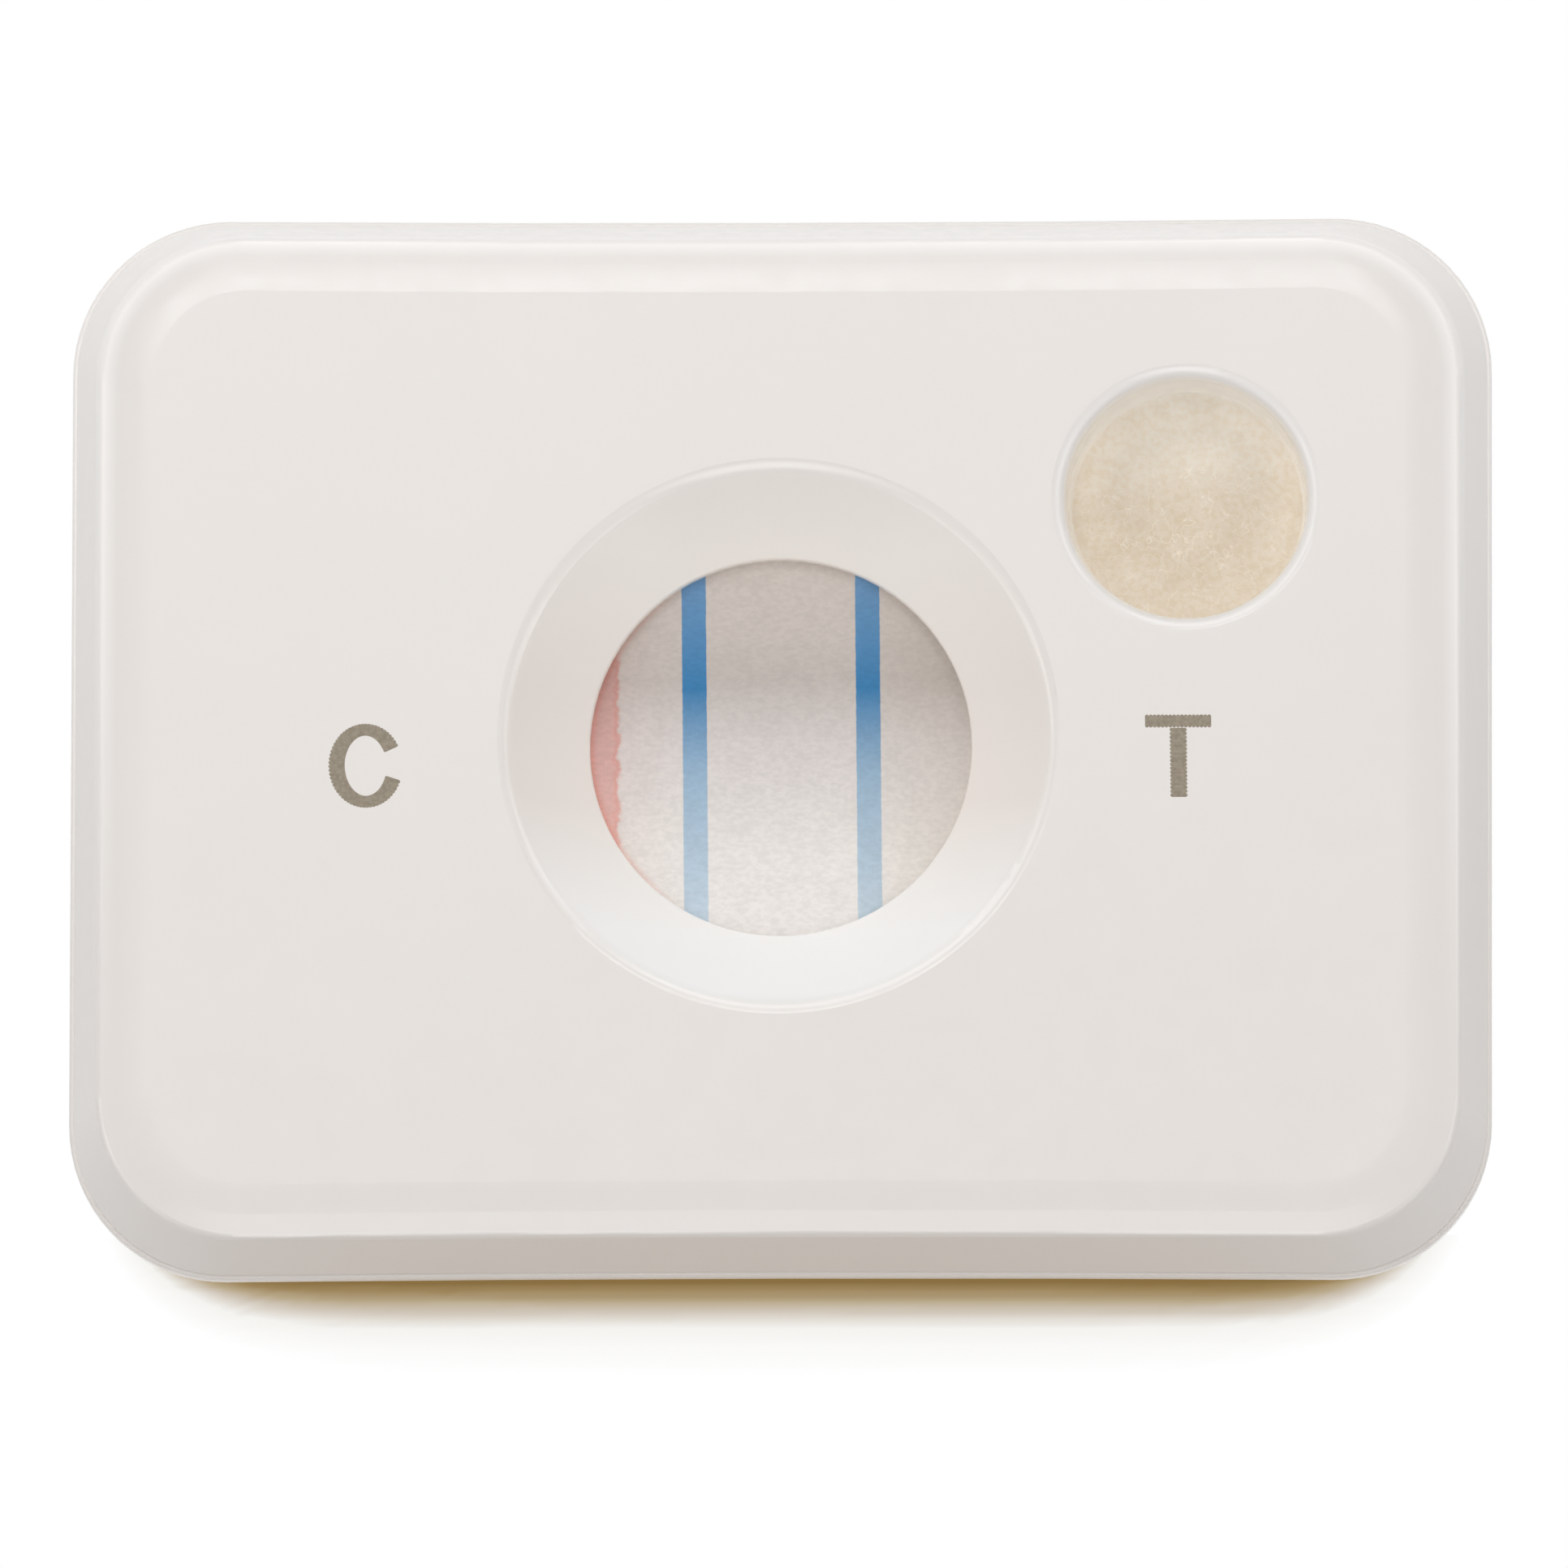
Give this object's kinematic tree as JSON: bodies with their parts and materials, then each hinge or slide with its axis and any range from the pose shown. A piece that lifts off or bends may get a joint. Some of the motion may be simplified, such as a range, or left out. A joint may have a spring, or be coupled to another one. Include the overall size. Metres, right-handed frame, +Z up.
{
  "type": "lateral flow cassette",
  "caption": "Flat moulded test cassette with a conical reaction dish over a membrane with capture lines, and a round sample well over a filter pad.",
  "frame": {"origin": "centre of the flat underside of the base", "axes": "+X along the long side towards the sample well, +Y across the housing towards the back edge that the well is nearer to, +Z up out of the face with the dish"},
  "size_m": [0.0508, 0.0384, 0.007],
  "materials": {
    "housing_plastic": "white moulded plastic, slightly translucent, soft gloss",
    "card_plastic": "thin white plastic card",
    "membrane_sheet": "damp porous membrane with blue capture lines and a pink dye stain",
    "filter_fibre": "cream fibrous pad",
    "absorbent_fibre": "white pressed fibre pad"
  },
  "bodies": {
    "root": {"top_cover": "housing_plastic", "base_tray": "housing_plastic", "backing_card": "card_plastic", "membrane": "membrane_sheet", "filter_pad": "filter_fibre", "absorbent_pad": "absorbent_fibre"}
  },
  "joints": []
}
